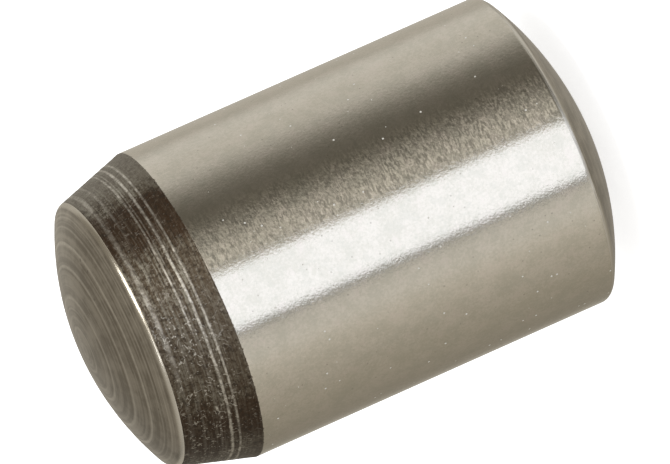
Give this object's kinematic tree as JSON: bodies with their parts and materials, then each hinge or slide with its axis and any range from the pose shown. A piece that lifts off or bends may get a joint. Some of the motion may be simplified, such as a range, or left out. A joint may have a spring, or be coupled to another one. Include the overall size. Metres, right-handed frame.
{
  "type": "dowel pin",
  "caption": "Short cylindrical steel dowel pin with a ground shank, a long shallow lead-in chamfer and a crowned tip at each end, for locating two plates.",
  "frame": {"origin": "lowest point of the plain end's crown, on the pin's axis", "axes": "+Z along the pin's axis, from the plain end to the chamfered lead-in end"},
  "size_m": [0.006, 0.006, 0.01],
  "materials": {
    "ground_steel": "ground shank, turned crowns and a dark heat-treatment oxide left on the chamfer"
  },
  "bodies": {
    "root": {"dowel_pin": "ground_steel"}
  },
  "joints": []
}
